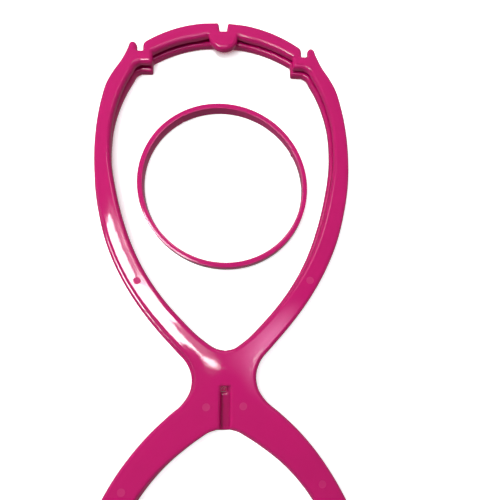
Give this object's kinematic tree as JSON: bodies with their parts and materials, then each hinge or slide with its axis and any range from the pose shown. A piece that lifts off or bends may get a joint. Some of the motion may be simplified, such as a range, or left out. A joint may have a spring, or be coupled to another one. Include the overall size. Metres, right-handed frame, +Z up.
{
  "type": "wig stand",
  "caption": "Flat-packed plastic wig and hat stand: a pair of notched egg-shaped loop frames with splayed legs, and a loose crown ring lying inside them.",
  "frame": {"origin": "middle of the bounding box, on the table the flat-packed stand lies on", "axes": "+Y from the feet towards the crown, +X across the loops, +Z up from the table"},
  "size_m": [0.1804, 0.3596, 0.0088],
  "materials": {
    "pink_plastic": "glossy injection-moulded pink plastic",
    "ring_plastic": "glossy injection-moulded pink plastic"
  },
  "bodies": {
    "rear_frame": {"rear_frame": "pink_plastic"},
    "front_frame": {"front_frame": "pink_plastic"},
    "crown_ring": {"crown_ring": "ring_plastic"}
  },
  "joints": [
    {"name": "front_frame_lift", "type": "slide", "parent": "rear_frame", "child": "front_frame", "axis": [0, 0, 1], "range_m": [0, 0.06]},
    {"name": "crown_ring_lift", "type": "slide", "parent": "rear_frame", "child": "crown_ring", "axis": [0, 0, 1], "range_m": [0, 0.06]}
  ]
}
